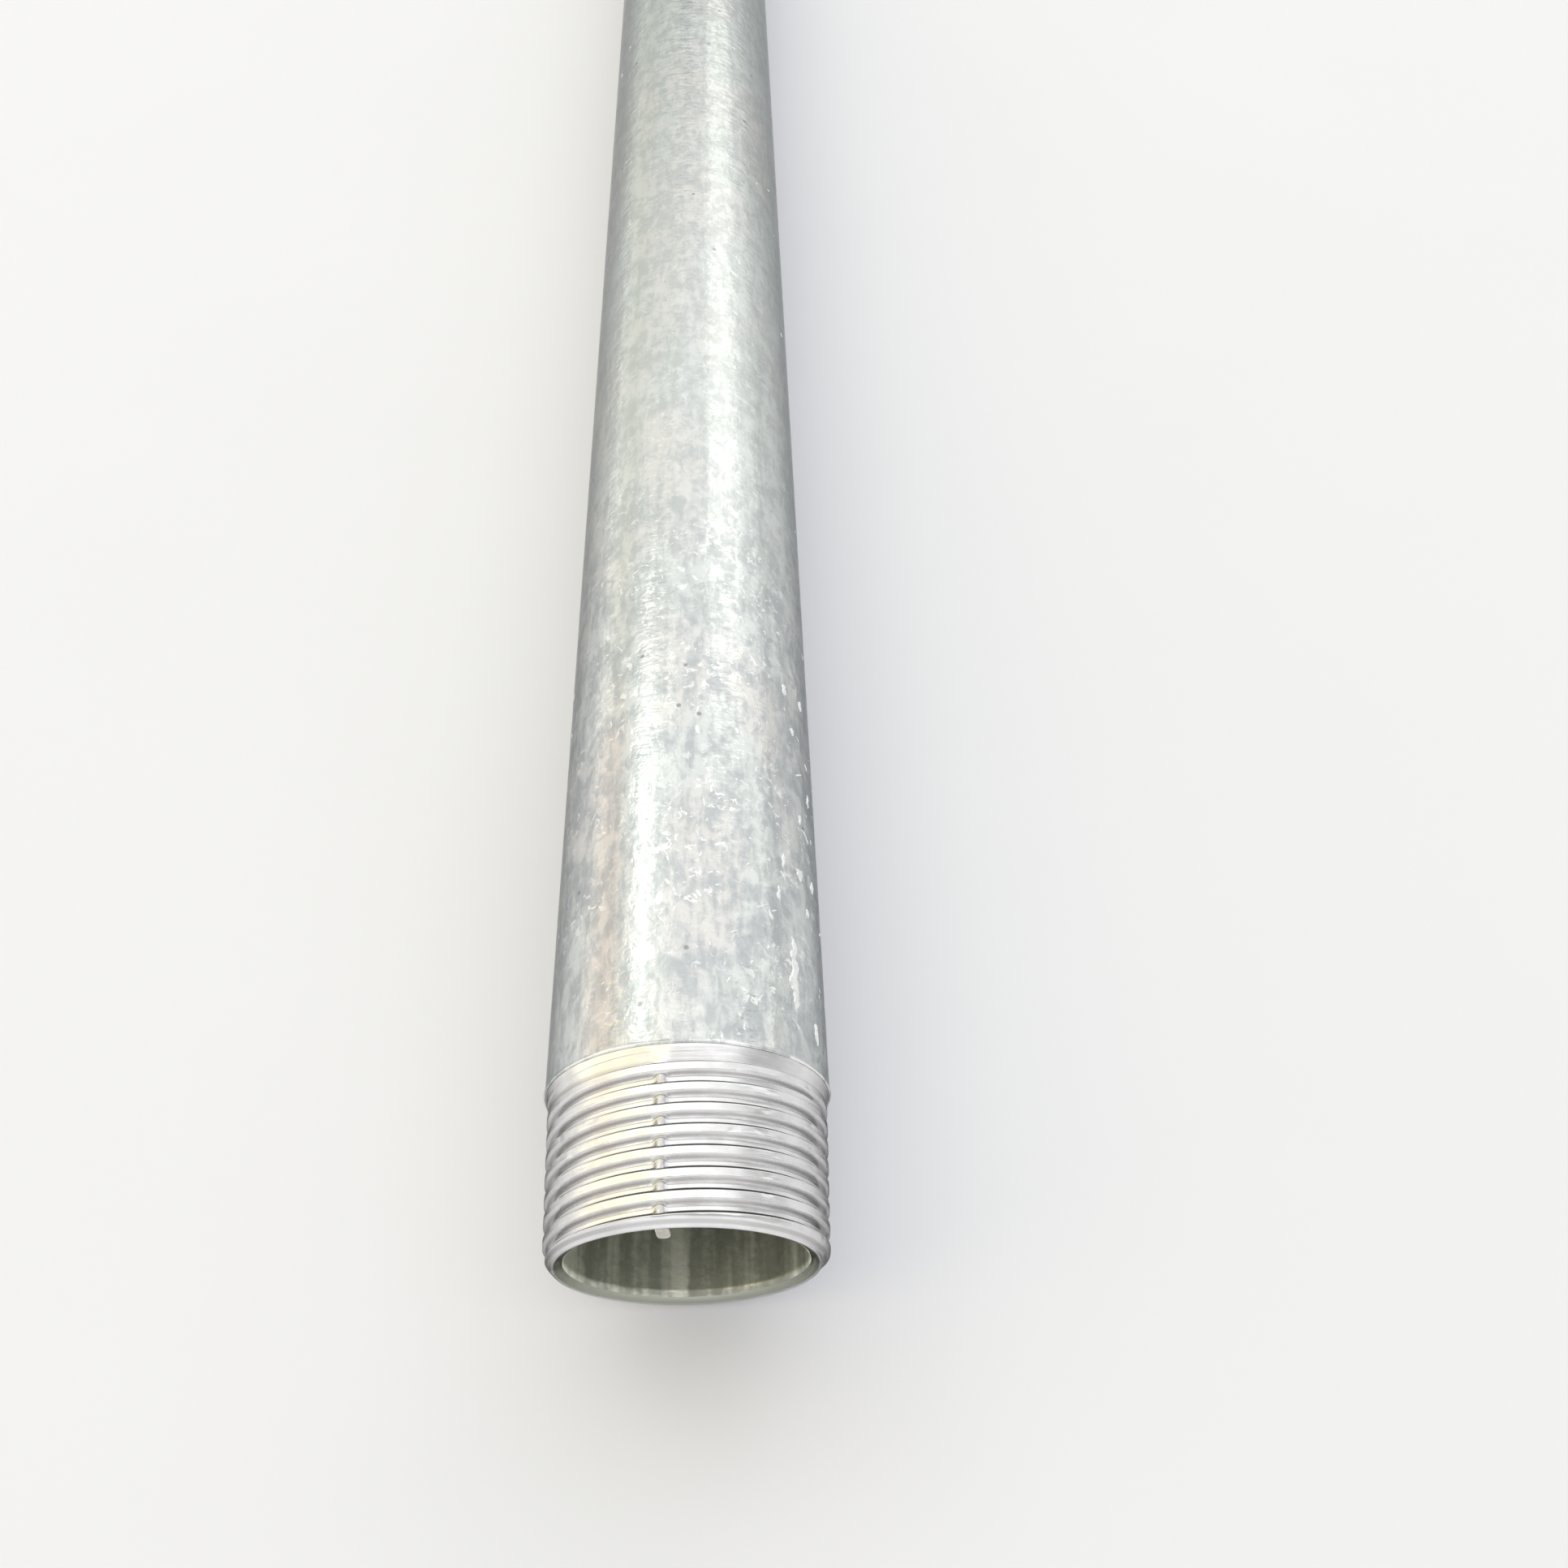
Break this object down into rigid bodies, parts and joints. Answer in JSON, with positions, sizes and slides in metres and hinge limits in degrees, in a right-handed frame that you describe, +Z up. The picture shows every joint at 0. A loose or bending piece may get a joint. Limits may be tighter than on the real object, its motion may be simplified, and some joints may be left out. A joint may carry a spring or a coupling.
{
  "type": "threaded pipe nipple",
  "caption": "Straight length of welded galvanised steel pipe with a right-hand taper pipe thread cut on each end and reamed open mouths.",
  "frame": {"origin": "on the pipe's axis, halfway between the two end faces", "axes": "+Y along the pipe from the front end to the rear end, +Z up; the weld seam is near the top, 7.4 degrees towards -X"},
  "size_m": [0.0336, 0.4, 0.0336],
  "materials": {
    "bare_steel": "turned, satin",
    "cut_thread": "cut, bright satin",
    "zinc": "hot-dip zinc, semi-gloss, mottled",
    "zinc_bore": "hot-dip zinc, dull, streaked",
    "weld": "trimmed weld under zinc"
  },
  "bodies": {
    "root": {"steel_tube": "bare_steel", "front_thread": "cut_thread", "rear_thread": "cut_thread", "zinc_outer": "zinc", "zinc_inner": "zinc_bore", "weld_bead": "weld"}
  },
  "joints": []
}
